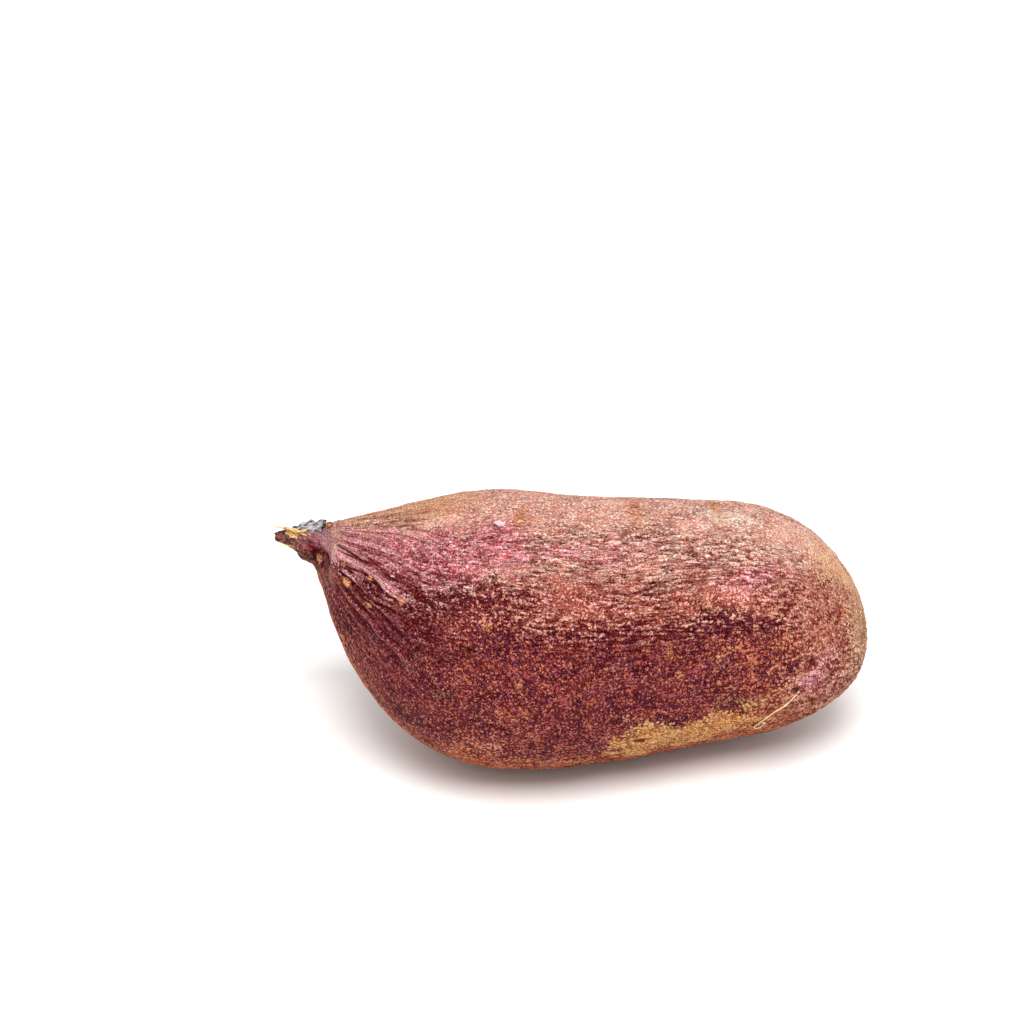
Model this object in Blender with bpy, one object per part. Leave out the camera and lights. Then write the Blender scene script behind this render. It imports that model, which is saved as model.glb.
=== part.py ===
"""Sweet potato root, lying on the small flat spot that it rests on.

One closed solid. +X runs from the stem stub to the blunt end, +Z is up, and the origin is on
the surface that the root lies on, under the middle of its bounding box. Sizes are in metres.

The body is a sphere's mesh laid along a curved spine. A vertex's distance along the root sets
how thick the root is there, and its angle round the spine sets which side of it the vertex is on.
"""

import math

import bmesh
import bpy
from mathutils import Vector, noise

# Overall sizes
ROOT_LENGTH = 0.1545  # stem tip to blunt end, along X
BELLY_WIDTH = 0.0725  # across Y where the root is thickest
BELLY_HEIGHT = 0.0710  # along Z at the same place

# Stem end
STUB_DIAMETER = 0.0120  # the broken stem where it joins the shoulder
STUB_TIP_DIAMETER = 0.0028  # what is left of it at its torn tip
STUB_LENGTH = 0.0115  # free length of the stem before the root swells
SHOULDER_LENGTH = 0.0500  # from the stem to full thickness
SHOULDER_SWELL = 0.76  # 1 swells evenly, less swells sooner and leaves a collar at the stem

# Blunt end
CAP_LENGTH = 0.0350  # depth of the round end
CAP_SQUARENESS = 2.25  # 2 is an ellipse, more is a blunter end
TAIL_THINNING = 0.0095  # diameter lost between the belly and the start of the round end
THINNING_CURVE = 1.5  # 1 is a straight taper, more keeps the belly full for longer

# How the root bends as it lies: both ends swing back (+Y) and lift off the surface
NECK_SWEEP = 0.0210
NECK_RISE = 0.0120
NECK_BEND = 1.4  # how close to the stem the bend is gathered
STUB_TILT = 0.15  # how much further the torn tip follows the bend
TAIL_SWEEP = 0.0110
TAIL_LIFT = 0.0070
TIP_DROOP = 0.0060  # how far the round end's tip sits below the line of the tail

# Skin form
REST_DEPTH = 0.0005  # how much of the underside the flat spot takes off
LUMP_HEIGHT = 0.0012  # broad unevenness of the flesh
LUMP_SPACING = 0.0300
RIB_HEIGHT = 0.0004  # shallow lengthwise ribs that the lateral roots grow from
RIB_COUNT = 5
NOISE_ORIGIN = Vector((3.1, 7.7, 1.9))  # which part of the noise field makes the lumps

# Mesh
STEPS_ALONG = 54
STEPS_AROUND = 56

SKIN_COLOUR = (0.230, 0.058, 0.055, 1.0)  # linear, dull purple red
SKIN_ROUGHNESS = 0.62

BELLY_AT = STUB_LENGTH + SHOULDER_LENGTH  # distance of the thickest place from the stem's tip
CAP_AT = ROOT_LENGTH - CAP_LENGTH


def share_between(value, start, end):
    return min(1.0, max(0.0, (value - start) / (end - start)))


def smoothstep(value, start, end):
    """0 before start, 1 after end, with level ends."""
    share = share_between(value, start, end)
    return share * share * (3 - 2 * share)


def shoulder_share(along):
    """Swelling from the stem's radius (0) to the full radius (1)."""
    share = share_between(along, STUB_LENGTH, BELLY_AT)
    return (1 - (1 - share) ** 2) ** SHOULDER_SWELL


def full_half_size(along, belly_half):
    """A belly half-size less what the slow taper towards the blunt end takes off it."""
    share = max(0.0, (along - BELLY_AT) / (CAP_AT - BELLY_AT))
    return belly_half - TAIL_THINNING / 2 * share**THINNING_CURVE


def round_end(along):
    """A blunt quarter ellipse that closes the root, 1 before its start and 0 at the tip."""
    share = share_between(along, CAP_AT, ROOT_LENGTH)
    return math.sqrt(1 - share**CAP_SQUARENESS)


def stub_half_size(along):
    """Half of the stem's thickness, domed at the torn tip."""
    to_collar = share_between(along, 0.0, STUB_LENGTH)
    tip = STUB_TIP_DIAMETER / 2
    dome = share_between(along, 0.0, tip)
    tapered = tip + (STUB_DIAMETER / 2 - tip) * to_collar
    return tapered * math.sqrt(1 - (1 - dome) ** 2)


def half_size_at(along, belly_half):
    """Half of the root's width or height at a distance from the stem's tip."""
    stub = stub_half_size(along)
    swollen = stub + (full_half_size(along, belly_half) - stub) * shoulder_share(along)
    return swollen * round_end(along)


def spine_at(along):
    """A point of the root's curved middle line."""
    neck = (1 - shoulder_share(along)) ** NECK_BEND
    neck += STUB_TILT * (1 - share_between(along, 0.0, STUB_LENGTH))
    to_end = share_between(along, BELLY_AT, ROOT_LENGTH)
    sweep = NECK_SWEEP * neck + TAIL_SWEEP * smoothstep(to_end, 0.06, 0.70)
    lift = NECK_RISE * neck + TAIL_LIFT * share_between(to_end, 0.30, 1.0) ** 1.5
    droop = TIP_DROOP * (1 - round_end(along))
    height = full_half_size(along, BELLY_HEIGHT / 2) - REST_DEPTH + lift - droop
    return Vector((along - ROOT_LENGTH / 2, sweep, height))


def unevenness(point, along, angle):
    """Lumps and ribs, as a height above the plain form. The underside stays plain."""
    underside = smoothstep(-math.sin(angle), 0.55, 0.9)
    body = shoulder_share(along) * round_end(along)
    lumps = LUMP_HEIGHT * noise.noise(point / LUMP_SPACING + NOISE_ORIGIN)
    ribs = RIB_HEIGHT * math.cos(RIB_COUNT * angle + along / BELLY_WIDTH)
    return body * (1 - underside) * (lumps + ribs)


def surface_point(along, angle):
    """The skin at a distance along the root and an angle round it, 0 at the back and 90 degrees at the top."""
    outward = Vector((0, math.cos(angle), math.sin(angle)))
    half_width = half_size_at(along, BELLY_WIDTH / 2)
    half_height = half_size_at(along, BELLY_HEIGHT / 2)
    point = spine_at(along) + Vector((0, half_width * outward.y, half_height * outward.z))
    return point + outward * unevenness(point, along, angle)


def shape_root(mesh):
    """Lays a unit sphere, whose poles become the two ends, along the spine."""
    for vertex in mesh.verts:
        pole, side, top = vertex.co.z, vertex.co.x, vertex.co.y
        along = ROOT_LENGTH * share_between(pole, -1.0, 1.0)
        vertex.co = surface_point(along, math.atan2(top, side))


def cut_rest_spot(mesh):
    """Takes off what hangs below the resting surface and closes the cut with one flat face."""
    everything = mesh.verts[:] + mesh.edges[:] + mesh.faces[:]
    cut = bmesh.ops.bisect_plane(
        mesh, geom=everything, plane_co=(0, 0, 0), plane_no=(0, 0, 1), clear_inner=True
    )
    rim = [piece for piece in cut["geom_cut"] if isinstance(piece, bmesh.types.BMEdge)]
    bmesh.ops.edgeloop_fill(mesh, edges=rim)


def centre_over_origin(mesh):
    """Moves the root so that its bounding box stands centred over the origin."""
    xs = [vertex.co.x for vertex in mesh.verts]
    ys = [vertex.co.y for vertex in mesh.verts]
    middle = Vector((min(xs) + max(xs), min(ys) + max(ys), 0)) / 2
    bmesh.ops.translate(mesh, vec=-middle, verts=mesh.verts)


def skin_material():
    material = bpy.data.materials.new("sweet_potato_skin")
    material.use_nodes = True
    shader = material.node_tree.nodes["Principled BSDF"]
    shader.inputs["Base Color"].default_value = SKIN_COLOUR
    shader.inputs["Roughness"].default_value = SKIN_ROUGHNESS
    shader.inputs["Metallic"].default_value = 0.0
    return material


def clear_scene():
    for thing in list(bpy.data.objects):
        bpy.data.objects.remove(thing)


def build_root():
    form = bmesh.new()
    bmesh.ops.create_uvsphere(form, u_segments=STEPS_AROUND, v_segments=STEPS_ALONG, radius=1)
    shape_root(form)
    cut_rest_spot(form)
    centre_over_origin(form)
    bmesh.ops.recalc_face_normals(form, faces=form.faces)
    mesh = bpy.data.meshes.new("sweet_potato")
    form.to_mesh(mesh)
    form.free()
    mesh.shade_smooth()
    mesh.set_sharp_from_angle(angle=math.radians(40))
    mesh.materials.append(skin_material())
    return bpy.data.objects.new("sweet_potato", mesh)


clear_scene()
collection = bpy.data.collections.new("sweet_potato")
bpy.context.scene.collection.children.link(collection)
collection.objects.link(build_root())
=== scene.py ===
# %% [markdown]
# # A sweet potato on a pale floor
#
# A sweet potato is a swollen root. Its skin is a thin cork layer that dries, wrinkles and scuffs
# after the harvest, and one end still carries the broken stub of the stem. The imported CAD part
# gives the root's true size and form, so this lesson begins by loading it as a fixed frame.

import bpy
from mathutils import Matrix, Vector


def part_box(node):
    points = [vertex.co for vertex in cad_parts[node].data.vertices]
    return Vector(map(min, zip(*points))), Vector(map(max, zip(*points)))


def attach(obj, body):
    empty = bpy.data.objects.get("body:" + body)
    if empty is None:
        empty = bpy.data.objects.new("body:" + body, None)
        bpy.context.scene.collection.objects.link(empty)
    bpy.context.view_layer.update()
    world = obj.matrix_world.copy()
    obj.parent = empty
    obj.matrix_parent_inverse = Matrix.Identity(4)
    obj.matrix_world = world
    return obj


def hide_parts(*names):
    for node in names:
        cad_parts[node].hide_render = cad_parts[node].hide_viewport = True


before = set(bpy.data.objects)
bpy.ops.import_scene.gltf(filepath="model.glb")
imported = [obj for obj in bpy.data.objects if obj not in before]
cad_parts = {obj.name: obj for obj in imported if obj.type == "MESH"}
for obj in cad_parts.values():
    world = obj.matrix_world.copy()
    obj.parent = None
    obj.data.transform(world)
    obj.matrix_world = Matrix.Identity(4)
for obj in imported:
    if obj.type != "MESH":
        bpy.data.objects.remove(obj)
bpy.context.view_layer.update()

# %% Modules
import math

import bpy
import numpy as np
from mathutils import Vector, noise
from mathutils.bvhtree import BVHTree

MM = 0.001
print("Blender", bpy.app.version_string)

# %% [markdown]
# ## Camera
#
# The root is seen from a little above, along +Y, with a long lens. A long lens from a metre away
# keeps the near and far sides of a small object at almost the same size. The root sits low and
# to the right in the view, so the camera aims at a point up and to the left of it.

# %% Camera
CAMERA_DISTANCE = 1.0
CAMERA_ELEVATION = math.radians(30)
LENS = 137.0  # on a 36 mm sensor
AIM_LEFT = 16.6 * MM
AIM_UP = 30.7 * MM

root_middle = Vector((0, 0, 34 * MM))
toward_camera = Vector((0, -math.cos(CAMERA_ELEVATION), math.sin(CAMERA_ELEVATION)))
view_up = Vector((0, math.sin(CAMERA_ELEVATION), math.cos(CAMERA_ELEVATION)))
aim = root_middle + Vector((-AIM_LEFT, 0, 0)) + view_up * AIM_UP

camera_data = bpy.data.cameras.new("camera")
camera_data.lens = LENS
camera = bpy.data.objects.new("camera", camera_data)
camera.location = root_middle + toward_camera * CAMERA_DISTANCE
camera.rotation_euler = (aim - camera.location).to_track_quat("-Z", "Y").to_euler()
bpy.context.scene.collection.objects.link(camera)
bpy.context.scene.camera = camera
print("camera at", tuple(round(v, 3) for v in camera.location))

# %% [markdown]
# ## Reading the root's form
#
# The CAD mesh is a few thousand triangles, too coarse for wrinkles. A subdivision would keep its
# uneven triangles, and a remesh would lose the sense of direction that wrinkles need. So the form
# is read again on a regular grid: stations along the root, and angles round it. Rays are cast
# outwards from the middle of each section to the CAD surface. Angle 0 faces +Y, which is the back
# of the root, 90 degrees is the top, 180 is the front and 270 is the underside.

# %% Cast rays from the middle of each section
node_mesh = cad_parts["sweet_potato"].data
shell = BVHTree.FromPolygons(
    [v.co for v in node_mesh.vertices], [p.vertices for p in node_mesh.polygons]
)
low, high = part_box("sweet_potato")


def distance_to_shell(origin, angle):
    hit = shell.ray_cast(origin, Vector((0, math.cos(angle), math.sin(angle))))
    return hit[3] if hit[0] else 0.0


def section_middle(x, guess):
    """Moves a guess to the middle of the section at x, and gives the section's mean radius too."""
    turns = np.arange(24) * math.tau / 24
    for _ in range(4):
        reach = np.array([distance_to_shell(Vector((x, *guess)), a) for a in turns])
        guess = guess + np.array(((reach * np.cos(turns)).mean(), (reach * np.sin(turns)).mean()))
    return guess, reach.mean()


END_GAP = 0.05 * MM
profile_x = np.linspace(low.x + END_GAP, high.x - END_GAP, 400)
profile_middle = np.zeros((len(profile_x), 2))
profile_radius = np.zeros(len(profile_x))
half_way = len(profile_x) // 2
for order in (range(half_way, len(profile_x)), range(half_way - 1, -1, -1)):
    guess = np.array((0.0, root_middle.z))
    for i in order:
        guess, profile_radius[i] = section_middle(profile_x[i], guess)
        profile_middle[i] = guess
print("thickest section: %.1f mm across" % (2000 * profile_radius.max()))

# %% [markdown]
# ## An even grid
#
# Stations are spaced along the skin rather than along X, so that the rings don't spread out
# where the root closes at its ends, and they stand closer together on the small stem stub. The
# steps round the root are finer than the steps along it, because wrinkles run lengthwise, and
# they are finest on the upper front, which is the most wrinkled. The rays land on flat CAD
# facets, and a light blur over a few grid steps rounds those facets away.

# %% Stations, angles and the smoothed form
STATIONS = 224
ANGLES = 432
STUB_STEPS = 2.2  # how many times closer the stations are on the stub
STUB_REACH = 15 * MM

step_length = np.hypot(np.diff(profile_x), np.diff(profile_radius))
skin_run = np.concatenate(([0], np.cumsum(step_length)))
closeness = 1 + (STUB_STEPS - 1) / (1 + np.exp((skin_run - STUB_REACH) / (1.5 * MM)))
steps_taken = np.concatenate(([0], np.cumsum(0.5 * (closeness[1:] + closeness[:-1]) * step_length)))
run = np.interp(np.linspace(0, steps_taken[-1], STATIONS), steps_taken, skin_run)
station_x = np.interp(run, skin_run, profile_x)

FINE_FROM, FINE_TO = 92, 172  # degrees
FINE_STEPS = 2.0  # how many times closer the angles are there
plain_degrees = np.linspace(-90, 270, 721)
fineness = 1 + (FINE_STEPS - 1) / (
    (1 + np.exp((FINE_FROM - plain_degrees) / 3)) * (1 + np.exp((plain_degrees - FINE_TO) / 3))
)
angle_steps = np.concatenate(([0], np.cumsum(0.5 * (fineness[1:] + fineness[:-1]))))
columns = np.arange(ANGLES) * angle_steps[-1] / ANGLES
angles = np.radians(np.interp(columns, angle_steps, plain_degrees))


def blur(values, axis, steps, wrap=False):
    """A Gaussian blur along one axis. An open axis is carried on in a straight line at its ends."""
    reach = math.ceil(steps * 3)
    weights = np.exp(-0.5 * (np.arange(-reach, reach + 1) / steps) ** 2)
    weights /= weights.sum()
    pad = [(reach, reach) if k == axis else (0, 0) for k in range(values.ndim)]
    kind = {"mode": "wrap"} if wrap else {"mode": "reflect", "reflect_type": "odd"}
    padded = np.pad(values, pad, **kind)
    return np.apply_along_axis(lambda row: np.convolve(row, weights, "valid"), axis, padded)


middle = np.stack([np.interp(station_x, profile_x, profile_middle[:, k]) for k in (0, 1)], 1)
middle = blur(middle, 0, 3)
radius = np.array(
    [
        [distance_to_shell(Vector((x, *centre)), a) for a in angles]
        for x, centre in zip(station_x, middle)
    ]
)
FACET_BLUR_ROUND, FACET_BLUR_ALONG = 4.8, 1.6  # in grid steps
radius = blur(blur(radius, 1, FACET_BLUR_ROUND, wrap=True), 0, FACET_BLUR_ALONG)
ring_radius = radius.mean(1)
print("grid step: %.2f mm along, %.2f to %.2f mm round" % (
    np.diff(run).max() / MM,
    np.diff(angles).min() * ring_radius.max() / MM,
    np.diff(angles).max() * ring_radius.max() / MM,
))

# %% Points and outward normals of the plain form
cosines, sines = np.cos(angles), np.sin(angles)


def normals_of(grid):
    """Unit normals of a grid of points that is closed round its second axis."""
    lengthwise = np.gradient(grid, run, axis=0)
    round_about = np.roll(grid, -1, 1) - np.roll(grid, 1, 1)
    found = np.cross(round_about, lengthwise)
    return found / np.maximum(np.linalg.norm(found, axis=2, keepdims=True), 1e-12)


plain = np.stack(
    [
        np.broadcast_to(station_x[:, None], radius.shape),
        middle[:, :1] + radius * cosines,
        middle[:, 1:] + radius * sines,
    ],
    axis=2,
)
plain_normals = normals_of(plain)

# %% [markdown]
# ## Measuring along the straightened root
#
# Wrinkles follow the root's length even where it bends, so patterns are laid on a straightened
# copy of it: the distance run along the skin, and a circle round it. A second copy keeps only the
# turn round the root, for the pleats. It twists on the front, where the pleats swing down as they
# run out. Marks are placed by their distance from the stem's tip in millimetres and their angle in
# degrees.

# %% Straightened coordinates, noise and masks
def soft_step(values, start, end):
    share = np.clip((values - start) / (end - start), 0, 1)
    return share * share * (3 - 2 * share)


straight = np.stack(
    [
        np.broadcast_to(run[:, None], radius.shape),
        ring_radius[:, None] * cosines,
        ring_radius[:, None] * sines,
    ],
    axis=2,
)
along = np.broadcast_to(((station_x - low.x) / MM)[:, None], radius.shape)
degrees = np.broadcast_to(np.degrees(angles)[None, :], radius.shape)
girth = np.broadcast_to((ring_radius / MM)[:, None], radius.shape)
PLEAT_TWIST = math.radians(24)
twist = soft_step(degrees, 85, 130) * (1 - soft_step(degrees, 190, 240)) * soft_step(along, 12, 48)
pleat_angle = np.radians(degrees) - PLEAT_TWIST * twist
turned = np.stack([straight[..., 0], np.cos(pleat_angle), np.sin(pleat_angle)], 2)


def noise_over(points, size, seed):
    """Smooth noise, roughly -0.7 to 0.7. size is the spacing of its features along each axis."""
    moved = points / np.array(size) + (seed * 17.3, seed * 7.1, seed * 3.7)
    values = [noise.noise(p) for p in moved.reshape(-1, 3).tolist()]
    return np.array(values).reshape(points.shape[:-1])


def skin_noise(size_along, size_across, seed):
    """Noise on the straightened skin, with its sizes in millimetres."""
    return noise_over(straight, (size_along * MM, size_across * MM, size_across * MM), seed)


def offset_from(at, angle):
    """How far each grid point is from a place on the skin, in mm along and in mm round the root."""
    turn = (degrees - angle + 180) % 360 - 180
    return along - at, np.radians(turn) * girth


def patch(at, angle, half_along, half_across, tilt=0.0):
    """A soft oval spot on the skin, 1 in its middle. tilt turns it, in degrees."""
    ahead, across = offset_from(at, angle)
    c, s = math.cos(math.radians(tilt)), math.sin(math.radians(tilt))
    ahead, across = ahead * c + across * s, across * c - ahead * s
    return np.exp(-((ahead / half_along) ** 2) - (across / half_across) ** 2)


def valleys(field, width):
    """1 along the lines where a smooth field passes through 0, fading within the width."""
    return np.exp(-((field / width) ** 2))


print("noise range: %.2f" % np.abs(skin_noise(10, 10, 1)).max())

# %% [markdown]
# ## Wrinkles
#
# Water leaves the root after the harvest, and the skin creases lengthwise. Where a smooth noise
# passes through zero it draws thin wandering lines, and noise stretched along the root makes
# those lines run lengthwise. The creases are deepest on the upper front of the root. Everywhere
# else the cork is only lumpy, and the material adds its pebbles.

# %% Lumps and lengthwise wrinkles, in millimetres of height
lumps = 0.35 * skin_noise(16, 14, 1) + 0.16 * skin_noise(6, 5, 2) + 0.14 * skin_noise(2.2, 1.8, 3)

wander = 0.6 * skin_noise(6, 4, 4)
creased = straight + np.stack([0 * wander, wander * MM, wander * MM], 2)
fine_field = noise_over(creased, (6.0 * MM, 1.0 * MM, 1.0 * MM), 5)
broad_field = noise_over(creased, (16 * MM, 3.4 * MM, 3.4 * MM), 6)
fine_creases = valleys(fine_field, 0.10) * soft_step(skin_noise(6, 3, 16), -0.40, 0.05)
broad_creases = valleys(broad_field, 0.045) * soft_step(skin_noise(11, 5, 17), -0.25, 0.15)

front_top = soft_step(degrees, 96, 116) * (1 - soft_step(degrees, 144, 172))
back_band = soft_step(degrees, -25, 0) * (1 - soft_step(degrees, 25, 55))
wrinkled = 0.85 * front_top + 0.65 * back_band + 0.15
wrinkled = wrinkled * soft_step(along, 14, 44) * soft_step(skin_noise(22, 12, 7), -0.55, 0.0)
wrinkled = wrinkled * (1 - 0.6 * soft_step(along, 128, 145))
wrinkle_height = wrinkled * (0.90 * np.abs(fine_field) - 0.48 * fine_creases - 0.42 * broad_creases)
print("deepest wrinkle: %.2f mm" % -wrinkle_height.min())

# %% [markdown]
# ## Pleats at the neck
#
# Where the root narrows to the stem, its skin gathers in pleats that fan out from the collar.
# Noise over the angle alone gives lines that spread as the neck swells, as the pleats do. The
# collar stands further from the tip on the upper front, where a band of bark is still smooth.

# %% Pleats
PLEAT_CELL = 0.11  # in radians of turn: about one pleat in 6 degrees
collar_at = 11 + 5.5 * soft_step(degrees, 20, 70) * (1 - soft_step(degrees, 150, 195))
collar_at = collar_at + 2.4 * skin_noise(7, 3, 25)
bend = 0.045 * skin_noise(8, 5, 8) + 0.012 * skin_noise(2.5, 2, 18)
fan = np.stack([turned[..., 0], turned[..., 1] + bend, turned[..., 2] + bend], 2)
pleat_field = noise_over(fan, (45 * MM, PLEAT_CELL, PLEAT_CELL), 9)
small_field = noise_over(fan, (22 * MM, PLEAT_CELL / 2, PLEAT_CELL / 2), 10)
pleat_lines = valleys(pleat_field, 0.055)
small_lines = valleys(small_field, 0.08) * soft_step(skin_noise(8, 3, 19), -0.3, 0.1)

pleated = soft_step(along, collar_at, collar_at + 2.5) * (1 - soft_step(along, 24, 56))
pleat_side = 0.12 + 0.88 * np.maximum(0, np.cos(np.radians(degrees - 122))) ** 4
pleat_depth = pleated * pleat_side * soft_step(girth, 3, 15)
pleat_height = pleat_depth * (
    1.7 * np.abs(pleat_field) - 0.90 * pleat_lines - 0.60 * small_lines + 0.8 * np.abs(small_field)
)
ridges = pleat_depth * (4 * np.abs(pleat_field) - 0.7)  # above 0 between the pleat lines
ridges = ridges * (1 - soft_step(degrees, 124, 148))
print("deepest pleat: %.2f mm" % -pleat_height.min())

# %% [markdown]
# ## The blunt end
#
# The far end has dried most. Its lower side is shrivelled into tight lengthwise folds.

# %% Shrivelled end
shrivelled = patch(145, 212, 12, 17)
shrivel_field = noise_over(creased, (11 * MM, 1.7 * MM, 1.7 * MM), 11)
shrivel_lines = valleys(shrivel_field, 0.12)
shrivel_height = shrivelled * (0.75 * np.abs(shrivel_field) - 0.35 * shrivel_lines)
print("shrivelled points:", int((shrivelled > 0.5).sum()))

# %% [markdown]
# ## Scars, pits and cracks
#
# Side roots leave a dent with an orange, crumbly scar across the root, and knocks leave pits and
# short cracks. The ones that show most are listed one by one, and the rest of the skin gets a
# seeded scatter of small ones, so that no side is left smooth.

# %% Marks listed one by one: (mm from the stem's tip, angle, half length, half width, depth, tilt)
SCARS = [
    (64.1, 98, 1.3, 3.6, 0.40, 8),
    (93.3, 86, 1.3, 4.6, 0.35, -6),
    (114.0, 76, 1.2, 5.4, 0.35, -12),
    (56.0, 30, 1.1, 6.0, 0.45, 5),
    (88.0, 345, 1.1, 4.5, 0.40, -8),
    (108.0, 20, 0.9, 4.0, 0.40, 10),
    (74.0, 300, 1.1, 4.5, 0.35, 0),
]
PITS = [
    (52.1, 159, 1.0, 0.8, 0.55, 0),
    (44.3, 172, 0.8, 0.7, 0.40, 0),
    (125.4, 154, 0.6, 1.2, 0.50, 0),
    (138.7, 173, 0.7, 1.2, 0.65, 15),
    (135.0, 190, 1.3, 0.9, 0.75, 30),
    (139.5, 204, 0.9, 0.6, 0.50, -20),
    (103.5, 89, 1.7, 0.4, 0.40, 0),
    (148.0, 78, 1.2, 1.0, 0.45, 40),
    (39.0, 10, 0.9, 0.8, 0.50, 0),
    (121.0, 330, 1.3, 0.9, 0.50, 20),
]
BUMPS = [
    (35.1, 142, 1.0, 1.0, 0.50, 0),
    (20.6, 144, 0.8, 0.9, 0.45, 0),
    (27.0, 134, 0.7, 0.8, 0.40, 0),
    (19.3, 132, 0.6, 0.7, 0.35, 0),
]
CRACKS = [
    (79.0, 217, 3.2, 0.5, 0.80, 3),
    (95.1, 207, 1.8, 0.5, 0.75, 2),
    (95.0, 318, 3.0, 0.5, 0.65, -4),
]


def total(marks):
    return sum(depth * patch(at, a, l, w, tilt) for at, a, l, w, depth, tilt in marks)


def cover(marks, spread):
    spots = [patch(at, a, l * spread, w * spread, tilt) for at, a, l, w, _, tilt in marks]
    return np.max(spots, axis=0)


crumble = 1 + 1.6 * skin_noise(1.6, 1.6, 12)
mark_height = (total(BUMPS) - total(SCARS)) * crumble - total(PITS) - total(CRACKS)
scabby = soft_step(skin_noise(1.5, 1.3, 22), -0.22, 0.12)
scarred = np.maximum(cover(SCARS, 1.5) * scabby, 0.8 * cover(BUMPS, 0.7))
pitted = np.maximum(cover(PITS, 0.85), cover(CRACKS, 0.85))

# %% The peeled lip of each crack, the fold near the end and the ring scar
lip_height = 0.50 * patch(95.4, 209.5, 2.6, 0.6, 2) + 0.30 * patch(79, 219.5, 4.5, 0.7, 3)
fold_height = 0.70 * patch(147.6, 137, 1.2, 2.2, 25) - 0.65 * patch(146.2, 140, 0.8, 2.4, 25)
ahead, across = offset_from(119.2, 88)
RING_SCAR_RADIUS = 1.8
ring_distance = np.hypot(ahead, across)
ring_height = 0.20 * np.exp(-(((ring_distance - RING_SCAR_RADIUS) / 0.5) ** 2))
ring_height = ring_height - 0.15 * patch(119.2, 88, 1.2, 1.2)

# %% A seeded scatter of small dents and bumps over the rest of the skin
SCATTERED = 90
rng = np.random.default_rng(41)
scatter_height = np.zeros_like(along)
scatter_scar = np.zeros_like(along)
for _ in range(SCATTERED):
    at, angle = rng.uniform(20, 148), rng.uniform(0, 360)
    size, raised = rng.uniform(0.5, 1.1), rng.uniform() < 0.45
    spot = patch(at, angle, size, size * rng.uniform(1, 2.2))
    scatter_height += (0.28 if raised else -0.32) * spot
    scatter_scar = np.maximum(scatter_scar, rng.uniform(0.4, 1.0) * spot if raised else 0)
print("marks:", len(SCARS) + len(PITS) + len(BUMPS) + len(CRACKS) + SCATTERED)

# %% [markdown]
# ## The broken stem
#
# The stub is what is left of the stem: a smooth mauve band above, and below it a broken recess
# where the bark tore away, dark inside, with a hole whose near-black colour is painted shade. It is
# pushed in and ridged lengthwise, as torn wood is.

# %% Stub
on_stub = 1 - soft_step(along, collar_at - 3.0, collar_at + 1.4)
recess = np.clip(patch(10.6, 166, 3.0, 3.2, -12) + 0.8 * patch(13.2, 140, 1.7, 1.3), 0, 1) * on_stub
hole = np.clip(1.1 * patch(10.2, 204, 1.6, 2.4) + 0.8 * patch(13.7, 150, 0.9, 1.4), 0, 1)
mauve_band = np.clip(1.8 * patch(11.4, 111, 5.8, 4.2) - 0.6 * recess, 0, 1) * on_stub
torn = np.clip(on_stub - mauve_band, 0, 1)
stub_grain = noise_over(turned, (5 * MM, 0.30, 0.30), 13)
crumbly = skin_noise(1.5, 1.3, 14)
stub_height = -1.5 * recess * (1 + 1.3 * crumbly) - 1.4 * hole
stub_height = stub_height + 1.2 * patch(10.0, 139, 3.2, 0.5, 10) + 0.5 * patch(17.6, 127, 1.6, 1.6)
stub_height = stub_height + torn * (1.1 * np.abs(stub_grain) + 0.7 * crumbly - 0.3)
stub_height = stub_height - 2.0 * (1 - soft_step(along, 0, 8)) * soft_step(girth, 1, 4)
collar_ring = np.exp(-(((along - collar_at - 1.4 * skin_noise(9, 3, 15)) / 0.9) ** 2))
stub_height = stub_height + 0.30 * collar_ring * (1 - 0.7 * mauve_band)
print("stub relief: %.1f to %.1f mm" % (stub_height.min(), stub_height.max()))

# %% [markdown]
# ## The skin mesh
#
# The heights are added along the normals. Nothing goes below the floor, so the underside stays
# flat where the root rests. A UV map is laid straight from the grid, with its seam underneath.

# %% Raise the grid
height = lumps + wrinkle_height + pleat_height + shrivel_height + mark_height + lip_height
height = height + fold_height + ring_height + scatter_height
height = height * (1 - on_stub) + stub_height
skin_points = plain + plain_normals * height[..., None] * MM
skin_points[..., 2] = np.maximum(skin_points[..., 2], 0.0)
# The material uses raised for painted shade and light: darker in the creases, lighter on the
# ridges.
RIDGE_BLUR_ROUND, RIDGE_BLUR_ALONG = 4, 2.5  # in grid steps
FULL_RIDGE = 0.24  # mm above the blurred height
coarse_height = blur(blur(height, 1, RIDGE_BLUR_ROUND, wrap=True), 0, RIDGE_BLUR_ALONG)
raised = np.clip((height - coarse_height) / FULL_RIDGE, -1, 1)  # 1 on ridges, -1 in creases
print("skin heights from %.2f to %.2f mm" % (height.min(), height.max()))

# %% Build the mesh
first, last = 0, STATIONS - 1
end_points = [skin_points[first].mean(0), skin_points[last].mean(0)]
end_points[0][0] = min(end_points[0][0], low.x)
end_points[1][0] = max(end_points[1][0], high.x)
points = np.concatenate([skin_points.reshape(-1, 3), end_points])
stem_pole, blunt_pole = STATIONS * ANGLES, STATIONS * ANGLES + 1

i, j = np.meshgrid(np.arange(STATIONS - 1), np.arange(ANGLES), indexing="ij")
i, j = i.ravel(), j.ravel()
after = (j + 1) % ANGLES
quads = np.stack(
    [i * ANGLES + j, i * ANGLES + after, (i + 1) * ANGLES + after, (i + 1) * ANGLES + j], 1
)
ring = np.arange(ANGLES)
beside = (ring + 1) % ANGLES
stem_fan = np.stack([beside, ring, np.full(ANGLES, stem_pole)], 1)
blunt_fan = np.stack([ring, beside, np.full(ANGLES, blunt_pole - last * ANGLES)], 1) + last * ANGLES

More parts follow.
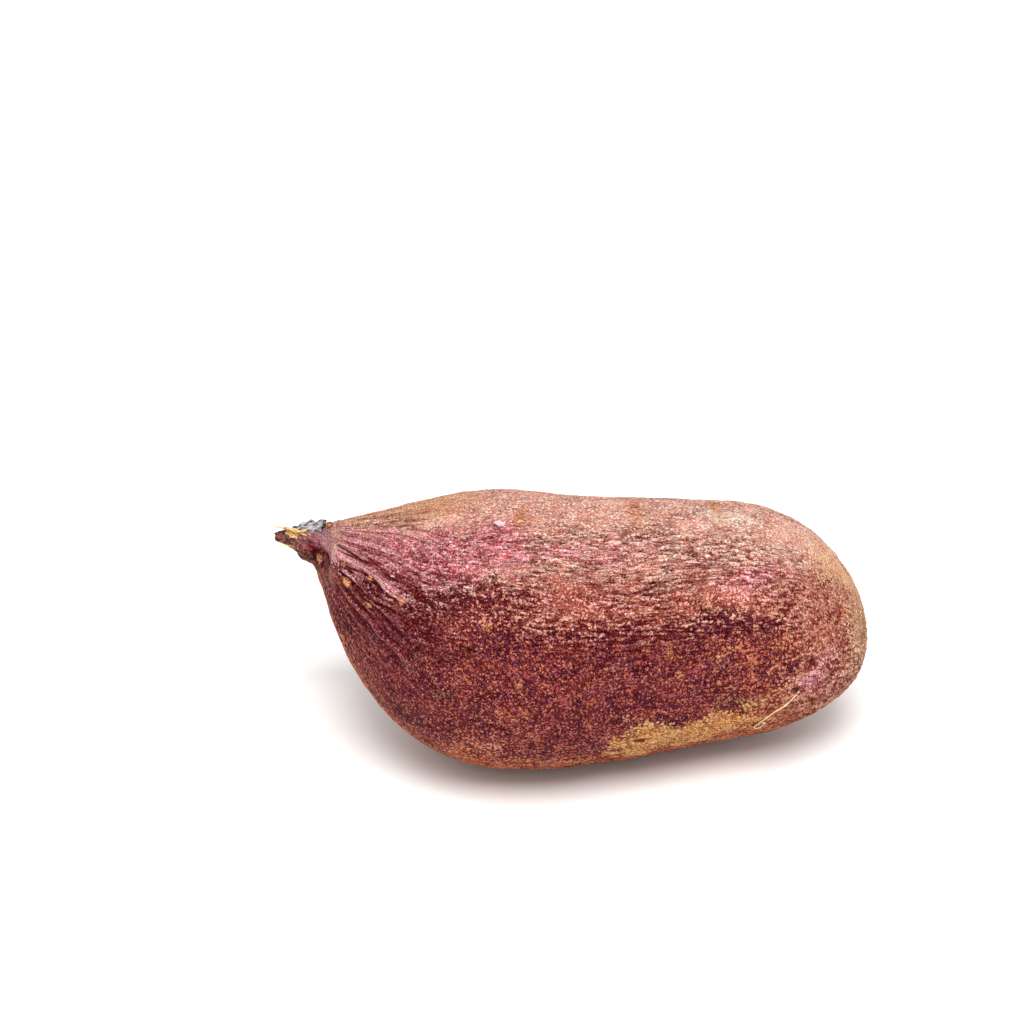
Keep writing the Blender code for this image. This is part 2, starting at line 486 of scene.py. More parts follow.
skin_mesh = bpy.data.meshes.new("skin")
skin_mesh.from_pydata(points.tolist(), [], quads.tolist() + stem_fan.tolist() + blunt_fan.tolist())
skin_mesh.shade_smooth()
skin = bpy.data.objects.new("skin", skin_mesh)
bpy.context.scene.collection.objects.link(skin)
print("skin:", len(skin_mesh.vertices), "vertices,", 2 * len(quads) + 2 * ANGLES, "triangles")

# %% UV map
UV_MARGIN = 0.01


def uv_place(station_share, turn):
    inside = 1 - 2 * UV_MARGIN
    return np.stack([UV_MARGIN + inside * station_share, UV_MARGIN + inside * turn / ANGLES], -1)


share = run / run[-1]
pole_share = 0.5 * (share[1] - share[0])
quad_uv = np.stack(
    [uv_place(share[i], j), uv_place(share[i], j + 1), uv_place(share[i + 1], j + 1),
     uv_place(share[i + 1], j)], 1
)
flat = np.zeros(ANGLES)
stem_uv = np.stack(
    [uv_place(flat + share[0], ring + 1), uv_place(flat + share[0], ring),
     uv_place(flat - pole_share, ring + 0.5)], 1
)
blunt_uv = np.stack(
    [uv_place(flat + 1, ring), uv_place(flat + 1, ring + 1),
     uv_place(flat + 1 + pole_share, ring + 0.5)], 1
)
uv_map = skin_mesh.uv_layers.new(name="OFBake")
all_uv = np.concatenate([quad_uv.reshape(-1, 2), stem_uv.reshape(-1, 2), blunt_uv.reshape(-1, 2)])
uv_map.uv.foreach_set("vector", all_uv.astype(np.float32).ravel())
print("UV map from", all_uv.min(0).round(3), "to", all_uv.max(0).round(3))

# %% [markdown]
# ## Where each colour lies
#
# The cork layer is thick and tan along the top, rubbed to cream in one place, and thin and
# purple-red below. The underside is also painted lighter and more orange, as painted bounce light
# from the floor. These broad areas are stored on the mesh as named masks with ragged edges.
# The material then mixes its finer patterns with them.

# %% Spots of colour: (weight, mm from the stem's tip, angle, half length, half width, tilt)
CREAM = [(1, 120, 90, 15, 11), (0.75, 103, 76, 11, 7), (0.4, 68, 62, 20, 7)]
ROSE = [
    (1.3, 27, 121, 14, 6, -8),
    (1.4, 46, 120, 17, 9, -12),
    (0.5, 62, 102, 10, 9),
    (0.6, 86, 116, 26, 10),
    (0.5, 130, 128, 14, 8),
    (0.5, 74, 138, 22, 6),
    (0.4, 112, 140, 16, 8),
    (0.9, 60, 5, 22, 16),
    (0.6, 110, 350, 12, 9),
    (0.3, 62, 208, 18, 9),
    (0.8, 141, 186, 9, 9),
]
TAN = [
    (1.5, 38, 74, 26, 15, 8),
    (0.7, 80, 126, 14, 4),
    (0.5, 142, 105, 13, 14),
    (0.45, 158, 150, 18, 50),
    (0.9, 154, 20, 18, 40),
]
OCHRE = [(1.5, 114, 206, 26, 8, -4), (1.1, 98, 212, 17, 7), (0.8, 60, 255, 30, 14)]
PLUM = [(1, 33, 164, 17, 11), (0.5, 76, 178, 16, 8), (0.5, 116, 172, 16, 6)]
OLIVE = [
    (1, 38, 170, 6, 5),
    (1, 45, 182, 6, 4),
    (1, 38, 203, 7, 4),
    (1, 120, 192, 12, 5),
    (0.6, 66, 160, 8, 4),
    (0.7, 30, 212, 12, 5),
    (0.6, 90, 170, 12, 4),
]
ragged = 0.30 * skin_noise(15, 9, 20) + 0.22 * skin_noise(4.5, 3, 21)


def spotted(spots, raggedness, start, end, extra=0.0):
    """A ragged area made of soft oval spots: 0 away from them and 1 well inside."""
    total_spot = sum(weight * patch(*place) for weight, *place in spots)
    return soft_step(total_spot + raggedness * ragged + extra, start, end)


print("spots of colour:", sum(len(spots) for spots in (CREAM, ROSE, TAN, OCHRE, PLUM, OLIVE)))

# %% Masks of the broad areas
EDGE_WIDTH = 20  # degrees
lower_edge = 139 + 9 * soft_step(along, 62, 105) + 18 * ragged + 10 * skin_noise(2.6, 1.8, 24)
lower_edge = lower_edge + 14 * ridges
pale = 1 - soft_step(degrees, lower_edge - EDGE_WIDTH, lower_edge + EDGE_WIDTH)
pale = pale * soft_step(degrees, -40 + 30 * ragged, 5)
blush_band = soft_step(degrees, 112, 134) * (1 - soft_step(degrees, 142, 162))
blush_band = blush_band * soft_step(along, 35, 75)
blush = blush_band * (1 + 1.2 * ragged) + 1.1 * patch(150, 155, 15, 30)
blush = np.clip(blush + 0.8 * patch(141, 194, 12, 15), 0, 1)
# Painted bounce light: the underside gets a lighter, more orange colour, as light from the floor
# would give it. Past 100 mm the same mask also carries the blunt end's own tan.
downward = np.clip(degrees - 180, 0, 45) + np.clip(20 - degrees, 0, 45)
tan_end_and_bounce_light = soft_step(1.2 * np.maximum(along - 100, 0) + 1.1 * downward + 60 * ragged, 5, 58)
# Painted shade in the creases: the material darkens the colour along the mesh's wrinkle creases,
# pleat lines and folds. Part of that dark is the folds' own colour, part is painted shade.
crease_tint_and_shade = np.clip(
    wrinkled * (0.75 * fine_creases + 0.45 * broad_creases)
    + 1.30 * pleat_depth * pleat_lines + 0.80 * pleat_depth * small_lines
    + 0.5 * shrivelled * shrivel_lines, 0, 1
)
masks = {
    "tan_end_and_bounce_light": tan_end_and_bounce_light,
    "pale": pale,
    "blush": blush,
    "rose": spotted(ROSE, 1.3, 0.02, 1.15, 0.9 * ridges),
    "plum": spotted(PLUM, 1.2, 0.10, 1.30),
    "olive": spotted(OLIVE, 1.5, 0.20, 1.35),
    "ochre": spotted(OCHRE, 2.6, 0.20, 1.60),
    "tan": spotted(TAN, 1.3, 0.05, 1.45),
    "cream": spotted(CREAM, 1.2, 0.15, 1.25),
    "crease_tint_and_shade": crease_tint_and_shade,
    "scar": np.clip(scarred + 0.8 * scatter_scar * scabby, 0, 1),
    "pit": pitted,
    "stub": on_stub,
    "mauve": mauve_band,
    "recess": np.clip(1.3 * recess, 0, 1),
    "hole": hole,
    "raised": raised,
    "lined": np.clip(wrinkled + shrivelled, 0, 1),
    "pleated": pleated * pleat_side,
}
print("masks:", ", ".join(masks))

# %% Store the masks on the mesh
for name, values in masks.items():
    attribute = skin_mesh.attributes.new(name, "FLOAT", "POINT")
    ends = [values[first].mean(), values[last].mean()]
    attribute.data.foreach_set("value", np.concatenate([values.ravel(), ends]).astype(np.float32))
stores = {"grain": straight, "fan": turned}  # lengths in metres, and turns round the root
for name, values in stores.items():
    attribute = skin_mesh.attributes.new(name, "FLOAT_VECTOR", "POINT")
    ends = [(run[first], 0, 0), (run[last], 0, 0)]
    listed = np.concatenate([values.reshape(-1, 3), ends]).astype(np.float32)
    attribute.data.foreach_set("vector", listed.ravel())
print("attributes on the skin:", len(skin_mesh.attributes))

# %% [markdown]
# ## Materials
#
# Colours are given as sRGB hex values, and one function turns them to linear light. One small
# function adds a node with its settings and links, and gives back one of its outputs.

# %% Helpers for materials
def linear(hex_colour):
    """A linear RGBA colour from an sRGB hex value."""
    parts = [int(hex_colour[k : k + 2], 16) / 255 for k in (1, 3, 5)]
    return (*[p / 12.92 if p <= 0.04045 else ((p + 0.055) / 1.055) ** 2.4 for p in parts], 1.0)


def add_node(tree, kind, settings, inputs, output=0):
    """Adds a node, sets its properties, gives each input a value or a link, returns an output."""
    made = tree.nodes.new(kind)
    for name, value in settings.items():
        setattr(made, name, value)
    for name, value in inputs.items():
        if isinstance(value, bpy.types.NodeSocket):
            tree.links.new(value, made.inputs[name])
        else:
            made.inputs[name].default_value = value
    return made.outputs[output]


def new_material(name):
    material = bpy.data.materials.new(name)
    material.use_nodes = True
    return material, material.node_tree, material.node_tree.nodes["Principled BSDF"]


ATTRIBUTE, NOISE, VORONOI = "ShaderNodeAttribute", "ShaderNodeTexNoise", "ShaderNodeTexVoronoi"
MATHS, VECTOR_MATHS, RANGE, MIX = (
    "ShaderNodeMath", "ShaderNodeVectorMath", "ShaderNodeMapRange", "ShaderNodeMix"
)
SMOOTH = {"interpolation_type": "SMOOTHSTEP"}
TIMES, PLUS, TIMES_PLUS = (
    {"operation": "MULTIPLY"}, {"operation": "ADD"}, {"operation": "MULTIPLY_ADD"}
)
COLOURS = {"data_type": "RGBA"}
SHARE, UNDER, OVER, MIXED = 0, 6, 7, 2  # a colour Mix node's inputs and its output
PLANT_IOR = 1.45
print("maroon in linear light:", [round(v, 3) for v in linear("#5c2a2b")[:3]])

# %% [markdown]
# ## The skin's finish
#
# The skin is cork: dead, dry cells with little shine, an IOR of about 1.45 and a high roughness.
# It stands in pebbles about 1 mm apart. Each broad area has two colours: one for the hollows
# between the pebbles and one for their tops. Noise of 1 mm and of 0.4 mm makes the pebbles
# irregular, and noise of 6 mm varies the colours from place to place. Fine dark lines follow the
# wrinkles and the pleats, partly their own colour and partly painted shade in their grooves. The
# colour is also painted darker in the mesh's creases and lighter on its ridges: painted shade and
# light.

# %% Skin material: patterns
cork, cork_tree, cork_shader = new_material("sweet_potato_cork_skin")
grain_at = add_node(cork_tree, ATTRIBUTE, {"attribute_name": "grain"}, {}, "Vector")
fan_at = add_node(cork_tree, ATTRIBUTE, {"attribute_name": "fan"}, {}, "Vector")
mask = {
    name: add_node(cork_tree, ATTRIBUTE, {"attribute_name": name}, {}, "Fac") for name in masks
}
NOISES = {"mottle": (6, 4.0), "blotch": (1.0, 2.0), "speck": (0.42, 1.0)}  # size in mm, detail
field = {
    name: add_node(
        cork_tree, NOISE, {},
        {"Vector": grain_at, "Scale": 1 / (size * MM), "Detail": detail, "Roughness": 0.62}, "Fac"
    )
    for name, (size, detail) in NOISES.items()
}

# %% Skin material: pebbles
PEBBLE_SPACING = 1.0 * MM
WARP = 0.8 * MM
warp = add_node(
    cork_tree, NOISE, {}, {"Vector": grain_at, "Scale": 1 / WARP, "Detail": 2.0}, "Color"
)
pebble_places = add_node(
    cork_tree, VECTOR_MATHS, TIMES_PLUS, {0: warp, 1: (WARP, WARP, WARP), 2: grain_at}, "Vector"
)
cell_distance = add_node(
    cork_tree, VORONOI, {"feature": "F1"},
    {"Vector": pebble_places, "Scale": 1 / PEBBLE_SPACING, "Randomness": 0.95}, "Distance"
)
chance = add_node(
    cork_tree, "ShaderNodeSeparateColor", {}, {"Color": cell_distance.node.outputs["Color"]}
).node.outputs
dome = add_node(
    cork_tree, RANGE, SMOOTH, {"Value": cell_distance, "From Min": 0.60, "From Max": 0.08}
)
dome_size = add_node(cork_tree, RANGE, {}, {"Value": chance["Red"], "To Min": 0.35, "To Max": 1.0})
pebble = add_node(cork_tree, MATHS, TIMES, {0: dome, 1: dome_size})
crust = add_node(cork_tree, MATHS, TIMES, {0: pebble, 1: 1.5})
# Pebble tops are lighter. The ridges of the mesh get more of them as painted light, and the
# underside gets more as painted bounce light; the blunt end gets more for its own tan.
for value, weight in (
    (field["blotch"], 0.8), (field["mottle"], 0.3), (field["speck"], 0.7), (mask["raised"], 0.20),
    (mask["tan_end_and_bounce_light"], 0.20),
):
    crust = add_node(cork_tree, MATHS, TIMES_PLUS, {0: value, 1: weight, 2: crust})
tops = add_node(cork_tree, RANGE, SMOOTH, {"Value": crust, "From Min": 0.94, "From Max": 1.62})

# %% Skin material: two colours for each broad area
HOLLOW_COLOURS = ("#4a111d", "#681f22")
TOP_COLOURS = ("#9e4046", "#bc5c34")
AREAS = {
    # The first pair below is lighter for painted bounce light on the underside, and for the blunt
    # end's own tan.
    "tan_end_and_bounce_light": ("#8e3826", "#d47448"),
    "pale": ("#ea9e88", "#ffd4bc"),
    "blush": ("#a64e3e", "#ea987c"),
    "rose": ("#d4646e", "#fcb0b4"),
    "plum": ("#3a0e1c", "#7e3038"),
    "olive": ("#50301f", "#84543a"),
    "ochre": ("#c2743c", "#f0b26a"),
    "tan": ("#dc986c", "#fac496"),
    "cream": ("#f2c4aa", "#ffeedc"),
}
edge = add_node(cork_tree, MATHS, TIMES_PLUS, {0: field["mottle"], 1: 0.8, 2: -0.6})
edge = add_node(cork_tree, MATHS, TIMES_PLUS, {0: tops, 1: 0.40, 2: edge})

dark_patches = add_node(
    cork_tree, RANGE, SMOOTH, {"Value": field["mottle"], "From Min": 0.38, "From Max": 0.62}
)
hollow = add_node(
    cork_tree, MIX, COLOURS,
    {SHARE: dark_patches, UNDER: linear(HOLLOW_COLOURS[0]), OVER: linear(HOLLOW_COLOURS[1])}, MIXED
)
top = add_node(
    cork_tree, MIX, COLOURS,
    {SHARE: chance["Green"], UNDER: linear(TOP_COLOURS[0]), OVER: linear(TOP_COLOURS[1])}, MIXED
)
for name, (hollow_colour, top_colour) in AREAS.items():
    reach = add_node(cork_tree, MATHS, PLUS, {0: mask[name], 1: edge})
    inside = add_node(
        cork_tree, RANGE, SMOOTH, {"Value": reach, "From Min": 0.35, "From Max": 1.05}
    )
    hollow = add_node(
        cork_tree, MIX, COLOURS, {SHARE: inside, UNDER: hollow, OVER: linear(hollow_colour)}, MIXED
    )
    top = add_node(
        cork_tree, MIX, COLOURS, {SHARE: inside, UNDER: top, OVER: linear(top_colour)}, MIXED
    )
cork_colour = add_node(cork_tree, MIX, COLOURS, {SHARE: tops, UNDER: hollow, OVER: top}, MIXED)

# %% Skin material: fine lines, pores and grain
stretched = add_node(cork_tree, VECTOR_MATHS, TIMES, {0: pebble_places, 1: (0.13, 1, 1)}, "Vector")
spread = add_node(cork_tree, VECTOR_MATHS, TIMES, {0: fan_at, 1: (1.6, 1, 1)}, "Vector")
LINES = [(stretched, 0.75 * MM, 0.055, "lined", 1.6), (spread, 0.050, 0.06, "pleated", 2.5)]
line_parts = []
for places, size, width, where, strength in LINES:
    value = add_node(
        cork_tree, NOISE, {}, {"Vector": places, "Scale": 1 / size, "Detail": 2.0}, "Fac"
    )
    off_middle = add_node(cork_tree, MATHS, {"operation": "SUBTRACT"}, {0: value, 1: 0.5})
    distance = add_node(cork_tree, MATHS, {"operation": "ABSOLUTE"}, {0: off_middle})
    line = add_node(
        cork_tree, RANGE, SMOOTH, {"Value": distance, "From Min": width, "From Max": 0.0}
    )
    local = add_node(cork_tree, MATHS, {**TIMES, "use_clamp": True}, {0: mask[where], 1: strength})
    line_parts.append(add_node(cork_tree, MATHS, TIMES, {0: line, 1: local}))
lines = add_node(cork_tree, MATHS, PLUS, {0: line_parts[0], 1: line_parts[1]})

pore = add_node(
    cork_tree, RANGE, SMOOTH, {"Value": cell_distance, "From Min": 0.22, "From Max": 0.10}
)
some = add_node(
    cork_tree, RANGE, SMOOTH, {"Value": chance["Blue"], "From Min": 0.72, "From Max": 0.9}
)
pores = add_node(cork_tree, MATHS, TIMES, {0: pore, 1: some})
# The dark lines are partly the wrinkles' own colour and partly painted shade in the grooves the
# bump cuts along them. The crease colour is painted shade in the mesh's creases over their own
# darker colour. The pores are the skin's own.
shades = [
    ("#90282a", lines, 0.58),
    ("#7c1e26", mask["crease_tint_and_shade"], 0.62),
    ("#6a2418", pores, 0.8),
]
for colour, share_of, strength in shades:
    amount = add_node(cork_tree, MATHS, {**TIMES, "use_clamp": True}, {0: share_of, 1: strength})
    cork_colour = add_node(
        cork_tree, MIX, COLOURS, {SHARE: amount, UNDER: cork_colour, OVER: linear(colour)}, MIXED
    )
# A gamma above 1 darkens a colour and deepens its hue. The first gamma follows the fine speck
# noise: partly random tone, partly painted shade where the bump sinks with it. The second is
# painted shade in the mesh's creases and painted light on its ridges.
SPECK_TONE_AND_HOLLOW_SHADE = {"From Min": 0.3, "From Max": 0.7, "To Min": 1.42, "To Max": 0.46}
RIDGE_LIGHT_AND_CREASE_SHADE = {"From Min": -1.0, "From Max": 1.0, "To Min": 1.22, "To Max": 0.76}
for value, limits in ((field["speck"], SPECK_TONE_AND_HOLLOW_SHADE), (mask["raised"], RIDGE_LIGHT_AND_CREASE_SHADE)):
    depth = add_node(cork_tree, RANGE, {}, {"Value": value, **limits})
    cork_colour = add_node(cork_tree, "ShaderNodeGamma", {}, {"Color": cork_colour, "Gamma": depth})

# %% Skin material: scars, pits and the stub
crumbs, chunks = [
    add_node(cork_tree, RANGE, SMOOTH, {"Value": field[size], "From Min": 0.40, "From Max": 0.62})
    for size in ("speck", "blotch")
]
# The pits and cracks are near black: partly their own dark, partly painted shade inside the dents.
# The hole in the stub is near black as painted shade inside it.
MARKS = [
    ("scar", crumbs, "#a04c26", "#eaa262"),
    ("pit", crumbs, "#140807", "#2c1210"),
    ("stub", chunks, "#502a26", "#a66a58"),
    ("mauve", chunks, "#9c6064", "#cb9698"),
    ("recess", chunks, "#380b13", "#a43846"),
    ("hole", crumbs, "#0d0405", "#240a0c"),
]
for name, pattern, dark, light in MARKS:
    finish = add_node(
        cork_tree, MIX, COLOURS, {SHARE: pattern, UNDER: linear(dark), OVER: linear(light)}, MIXED
    )
    cork_colour = add_node(
        cork_tree, MIX, COLOURS, {SHARE: mask[name], UNDER: cork_colour, OVER: finish}, MIXED
    )

# %% Skin material: relief and gloss
relief = add_node(cork_tree, MATHS, TIMES_PLUS, {0: field["speck"], 1: 2.0, 2: pebble})
relief = add_node(cork_tree, MATHS, TIMES_PLUS, {0: field["blotch"], 1: 1.5, 2: relief})
relief = add_node(cork_tree, MATHS, TIMES_PLUS, {0: lines, 1: -1.8, 2: relief})
RELIEF_HEIGHT = 0.60 * MM
bump = add_node(
    cork_tree, "ShaderNodeBump", {}, {"Height": relief, "Strength": 1.0, "Distance": RELIEF_HEIGHT}
)
gloss = add_node(
    cork_tree, RANGE, {},
    {"Value": field["mottle"], "From Min": 0.3, "From Max": 0.7, "To Min": 0.78, "To Max": 0.58}
)
for name, value in {"Base Color": cork_colour, "Normal": bump, "Roughness": gloss}.items():
    cork_tree.links.new(value, cork_shader.inputs[name])
cork_shader.inputs["IOR"].default_value = PLANT_IOR
cork_shader.inputs["Specular IOR Level"].default_value = 0.08
skin_mesh.materials.append(cork)
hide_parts("sweet_potato")
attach(skin, "root")

# %% [markdown]
# ## Loose pieces
#
# A few things stand off the skin: a scab of dried grey bark on the stub, a knob of straw-coloured
# pith and fibres where the stem broke, a peeled flake of cork, crumbs at old scars and a single
# hair root. They are thin closed shells and tapered curves, and they are placed with the same two
# measures as the marks, so that they lie on the finished skin.

# %% Places on the finished skin
def on_skin(at, angle, lift=0.0):
    """A place on the skin, in mm from the stem's tip and in degrees, lifted outwards by mm."""
    row = np.interp(at * MM + low.x, station_x, np.arange(STATIONS))
    column = np.interp((angle + 90) % 360 - 90, np.degrees([*angles, angles[0] + math.tau]),
                       np.arange(ANGLES + 1))
    r, c = min(int(row), STATIONS - 2), min(int(column), ANGLES - 1)
    u, v = row - r, column - c
    rows, columns = [r, r, r + 1, r + 1], [c, (c + 1) % ANGLES, c, (c + 1) % ANGLES]
    weights = np.array([(1 - u) * (1 - v), (1 - u) * v, u * (1 - v), u * v])[:, None]
    place = (skin_points[rows, columns] * weights).sum(0)
    outward = (plain_normals[rows, columns] * weights).sum(0)
    return Vector(place + outward * lift * MM)


print("the hole in the stub is at", tuple(round(v, 4) for v in on_skin(10.2, 204)))

# %% Torn flakes
FLAKE_RINGS, FLAKE_SPOKES = 8, 36


def flake_shell(flake, seed):
    """Corners and faces of one thin torn flake: a top, an underside and a rim between them."""
    at, angle, half_along, half_across, tilt, curl, thickness, ripple = flake
    local_girth = np.interp(at, along[:, 0], girth[:, 0])
    c, s = math.cos(math.radians(tilt)), math.sin(math.radians(tilt))
    upper, under = [], []
    for ring_number in range(FLAKE_RINGS + 1):
        out = ring_number / FLAKE_RINGS
        for spoke in range(FLAKE_SPOKES if ring_number else 1):
            turn = math.tau * spoke / FLAKE_SPOKES
            torn_edge = 1 + 0.55 * noise.noise((2 * math.cos(turn), 2 * math.sin(turn), seed * 5.3))
            torn_edge += 0.30 * noise.noise((6 * math.cos(turn), 6 * math.sin(turn), seed * 2.9))
            u, v = out * torn_edge * math.cos(turn), out * torn_edge * math.sin(turn)
            ahead, across = u * half_along, v * half_across
            place = (
                at + ahead * c - across * s,
                angle + math.degrees((ahead * s + across * c) / local_girth),
            )
            wave = noise.noise((ahead * 0.5, across * 1.8, seed))
            wave += 0.4 * noise.noise((ahead * 2, across * 3, seed))
            lift = 0.12 + curl * max(0.0, u) ** 2 + ripple * wave
            upper.append(on_skin(*place, lift + thickness * (1 - 0.7 * out**3)))
            under.append(on_skin(*place, min(lift, lift * out - 0.10 * (1 - out))))
    faces = []
    for ring_number in range(FLAKE_RINGS):
        inner = 1 + (ring_number - 1) * FLAKE_SPOKES
        outer = inner + FLAKE_SPOKES
        for spoke in range(FLAKE_SPOKES):
            after = (spoke + 1) % FLAKE_SPOKES
            if ring_number:
                faces.append((inner + spoke, outer + spoke, outer + after, inner + after))
            else:
                faces.append((0, outer + spoke, outer + after))
    count = len(upper)
    rim = 1 + (FLAKE_RINGS - 1) * FLAKE_SPOKES
    under_faces = [tuple(count + k for k in reversed(face)) for face in faces]
    rim_faces = [
        (rim + k, count + rim + k, count + rim + after, rim + after)
        for k, after in ((k, (k + 1) % FLAKE_SPOKES) for k in range(FLAKE_SPOKES))
    ]
    return upper + under, faces + under_faces + rim_faces


def add_flakes(name, flakes, material, first_seed):
    """One piece of one or more flakes."""
    corners, faces = [], []
    for number, flake in enumerate(flakes):
        flake_corners, flake_faces = flake_shell(flake, first_seed + number)
        faces += [tuple(len(corners) + k for k in face) for face in flake_faces]
        corners += flake_corners
    mesh = bpy.data.meshes.new(name)
    mesh.from_pydata(corners, [], faces)
    mesh.shade_smooth()
    mesh.materials.append(material)
    piece = bpy.data.objects.new(name, mesh)
    bpy.context.scene.collection.objects.link(piece)
    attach(piece, "root")
    print(name + ":", len(flakes), "flakes")


# %% [markdown]
# ## Finishes of the loose pieces
#
# Dried bark is grey with dark cracks, peeled cork is pink inside, and pith and fibres are straw
# yellow.
# All are dry plant matter: IOR about 1.45, no metal, and a roughness from 0.6 to 0.9.

# %% Dry plant materials
def dry_material(name, dark, light, size, stretch, roughness, relief):
    """Mottled dry plant matter. size is the mottle's in mm, and stretch draws it out along X."""
    material, tree, shader = new_material(name)
    place = add_node(tree, "ShaderNodeTexCoord", {}, {}, "Object")
    drawn_out = add_node(tree, VECTOR_MATHS, TIMES, {0: place, 1: (1 / stretch, 1, 1)}, "Vector")
    grain = add_node(
        tree, NOISE, {}, {"Vector": drawn_out, "Scale": 1 / (size * MM), "Detail": 4.0}, "Fac"
    )
    amount = add_node(tree, RANGE, SMOOTH, {"Value": grain, "From Min": 0.36, "From Max": 0.64})
    colour = add_node(
        tree, MIX, COLOURS, {SHARE: amount, UNDER: linear(dark), OVER: linear(light)}, MIXED
    )
    bump = add_node(tree, "ShaderNodeBump", {}, {"Height": grain, "Distance": relief * MM})
    tree.links.new(colour, shader.inputs["Base Color"])
    tree.links.new(bump, shader.inputs["Normal"])
    shader.inputs["Roughness"].default_value = roughness
    shader.inputs["IOR"].default_value = PLANT_IOR
    return material


dried_bark = dry_material("dried_stem_bark", "#3c363a", "#bcb4b4", 1.1, 2.5, 0.9, 0.7)
peeled_cork = dry_material("peeled_cork_inside", "#c98a90", "#f0ccd0", 0.8, 1.0, 0.7, 0.15)
cork_crumb = dry_material("cork_crumb", "#7c4028", "#cc8860", 0.7, 1.0, 0.8, 0.2)
straw = dry_material("straw_fibre", "#8e5a24", "#e6c482", 0.9, 3.0, 0.6, 0.30)
root_hair = dry_material("dry_root_hair", "#d8b98c", "#f4e2bc", 1.5, 1.0, 0.6, 0.05)
print("dry bark in linear light:", [round(v, 3) for v in linear("#bcb4b4")[:3]])

# %% Flakes: (at, angle, half length, half width, tilt, curl, thickness, ripple), in mm and degrees
BARK_SCAB = [
    (8.6, 84, 4.2, 2.4, 4, 0.3, 1.0, 0.9),
    (6.2, 68, 2.8, 1.6, -12, 0.8, 0.8, 0.8),
    (11.4, 74, 2.2, 1.5, 20, 0.5, 1.0, 0.7),
]
PEELED_FLAKE = [(59.0, 102, 1.5, 1.3, 155, 1.3, 0.12, 0.1)]
CRUMBS = [
    (14.3, 84, 0.8, 0.9, 30, 0.3, 0.35, 0.2),
    (10.6, 177, 0.6, 0.7, 60, 0.3, 0.40, 0.2),
    (19.3, 132, 0.7, 0.6, 0, 0.3, 0.30, 0.1),
    (20.6, 144, 1.0, 0.8, 60, 0.4, 0.35, 0.1),
    (27.0, 134, 0.8, 0.6, 20, 0.3, 0.30, 0.1),
    (35.1, 142, 1.0, 0.9, 80, 0.5, 0.35, 0.2),
    (26.6, 150, 0.9, 0.4, 10, 0.5, 0.20, 0.1),
    (95.6, 209.2, 1.9, 0.45, 2, 0.4, 0.25, 0.1),
    (79.0, 219.5, 2.4, 0.35, 3, 0.3, 0.20, 0.1),
    (147.8, 137, 0.8, 1.3, 115, 0.7, 0.20, 0.2),
    (64.6, 94, 0.7, 0.7, 40, 0.4, 0.25, 0.2),
    (63.9, 103, 0.7, 0.5, 200, 0.4, 0.25, 0.2),
    (93.6, 82, 0.6, 0.7, 60, 0.3, 0.25, 0.2),
    (90.0, 320, 1.0, 0.6, 10, 0.4, 0.25, 0.1),
    (57.0, 33, 0.9, 0.6, 60, 0.4, 0.25, 0.2),
]
PITH_KNOB = [
    (4.4, 120, 1.7, 1.1, 20, 0.5, 0.7, 0.6),
    (6.6, 112, 1.5, 0.9, -15, 0.4, 0.6, 0.5),
    (3.0, 106, 1.1, 0.8, 40, 0.5, 0.5, 0.4),
]
add_flakes("bark_scab", BARK_SCAB, dried_bark, 3)
add_flakes("peeled_flake", PEELED_FLAKE, peeled_cork, 11)
add_flakes("scar_crumbs", CRUMBS, cork_crumb, 21)
add_flakes("pith_knob", PITH_KNOB, straw, 51)

# %% Fibres and the hair root
def add_strands(name, strands, material):
    """One piece of tapered strands. Each strand is a list of (place, radius in mm)."""
    curve = bpy.data.curves.new(name, "CURVE")
    curve.dimensions = "3D"
    curve.bevel_depth = MM
    curve.bevel_resolution = 2
    curve.resolution_u = 6
    curve.use_fill_caps = True
    for strand in strands:
        spline = curve.splines.new("BEZIER")
        spline.bezier_points.add(len(strand) - 1)
        for point, (place, point_radius) in zip(spline.bezier_points, strand):
            point.co, point.radius = place, point_radius
            point.handle_left_type = point.handle_right_type = "AUTO"
    curve.materials.append(material)
    piece = bpy.data.objects.new(name, curve)
    bpy.context.scene.collection.objects.link(piece)
    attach(piece, "root")
    print(name + ":", len(strands), "strands")


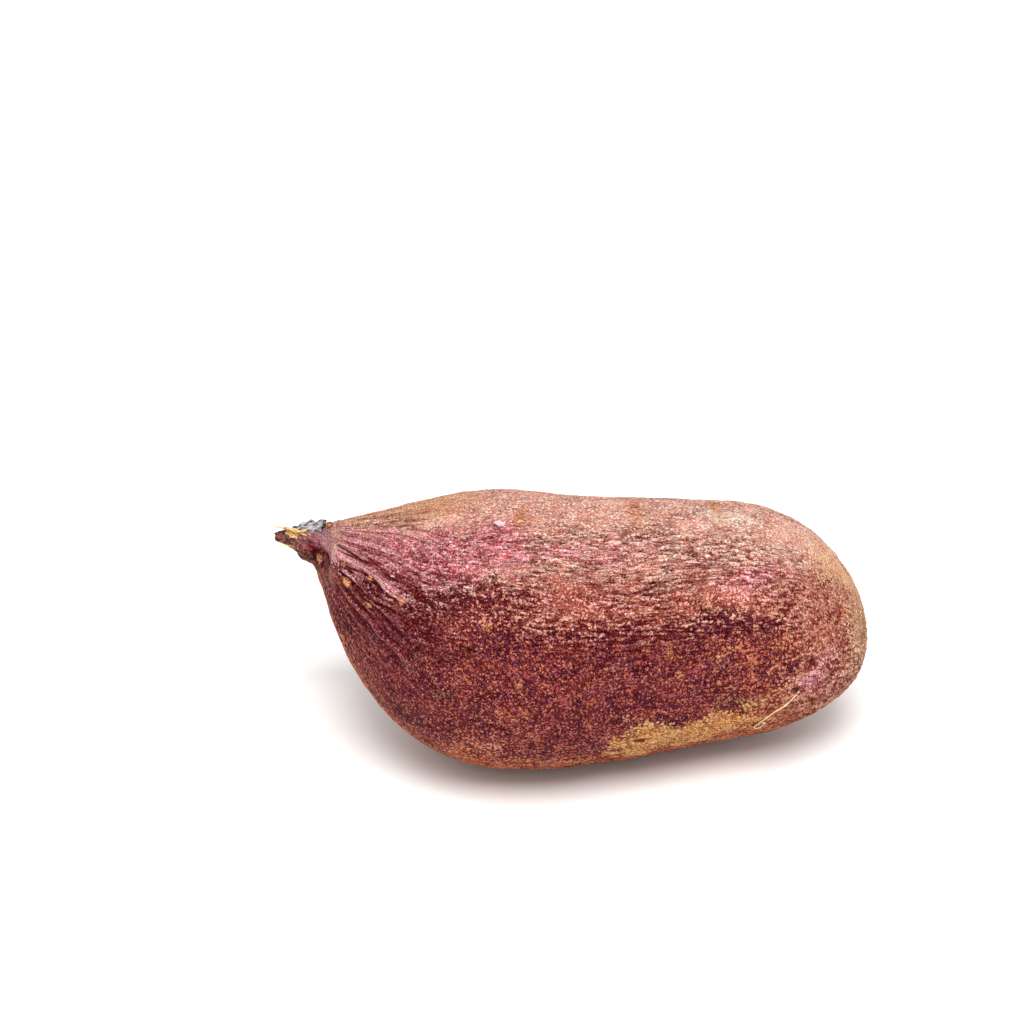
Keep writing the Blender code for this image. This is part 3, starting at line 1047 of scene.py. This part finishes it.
# (start, angle, end, end's angle, end's lift, radius at the root), in mm and degrees
FIBRES = [
    (6.4, 116, 0.9, 94, 2.4, 0.52),
    (8.0, 122, 5.0, 112, 1.2, 0.42),
    (6.2, 104, 3.8, 99, 1.3, 0.36),
    (5.6, 134, 3.6, 141, 0.9, 0.38),
    (4.6, 196, 1.4, 206, 0.5, 0.28),
    (5.4, 20, 1.8, 5, 0.5, 0.28),
    (4.8, 300, 1.2, 290, 0.4, 0.26),
]
fibres = []
for start, angle, end, end_angle, lift, thick in FIBRES:
    root_end = on_skin(start, angle, -0.2)
    half = on_skin(0.5 * (start + end), 0.5 * (angle + end_angle), 0.6 * lift + 0.2)
    tip = on_skin(end, end_angle, lift)
    fibres.append([(root_end, thick), (half, 0.85 * thick), (tip, 0.3 * thick)])
add_strands("stem_fibres", fibres, straw)

HAIR_RADIUS = 0.14
# (at, angle, lift), in mm and degrees: down the side of the end and round one small loop
HAIR = [
    (135.6, 192, 0.0), (132.3, 197, 0.5), (128.9, 202, 0.5), (126.8, 206, 0.6), (125.2, 211, 0.6),
    (124.4, 215, 0.4), (125.2, 217, 0.3), (126.4, 214, 0.4), (127.0, 210.5, 0.6), (126.2, 208, 0.9),
]
add_strands("hair_root", [[(on_skin(*place), HAIR_RADIUS) for place in HAIR]], root_hair)

# %% [markdown]
# ## Floor and light
#
# A pale matte floor, one soft light above and a little in front of the root, and a white world
# that fills the shadows.

# %% Floor
floor_material, _, floor_shader = new_material("white_card")
floor_shader.inputs["Base Color"].default_value = linear("#f4f3f1")
floor_shader.inputs["Roughness"].default_value = 0.9
floor_mesh = bpy.data.meshes.new("floor")
FLOOR_HALF = 3.0
FLOOR_DROP = 0.1 * MM
floor_corners = [
    (x * FLOOR_HALF, y * FLOOR_HALF, -FLOOR_DROP) for x, y in ((-1, -1), (1, -1), (1, 1), (-1, 1))
]
floor_mesh.from_pydata(floor_corners, [], [(0, 1, 2, 3)])
floor_mesh.materials.append(floor_material)
floor = bpy.data.objects.new("floor", floor_mesh)
bpy.context.scene.collection.objects.link(floor)

# %% Lights
def softbox(name, place, size, power):
    """A square area light that faces the root."""
    data = bpy.data.lights.new(name, "AREA")
    data.shape, data.size, data.energy = "SQUARE", size, power
    light = bpy.data.objects.new(name, data)
    light.location = place
    light.rotation_euler = (root_middle - light.location).to_track_quat("-Z", "Y").to_euler()
    bpy.context.scene.collection.objects.link(light)


softbox("overhead_softbox", Vector((0.06, -0.48, 1.00)), 0.70, 13.5)

world = bpy.data.worlds.new("studio")
bpy.context.scene.world = world
world.use_nodes = True
backdrop = world.node_tree.nodes["Background"]
backdrop.inputs["Color"].default_value = (1, 1, 1, 1)
backdrop.inputs["Strength"].default_value = 0.82
bpy.context.scene.view_settings.view_transform = "Standard"
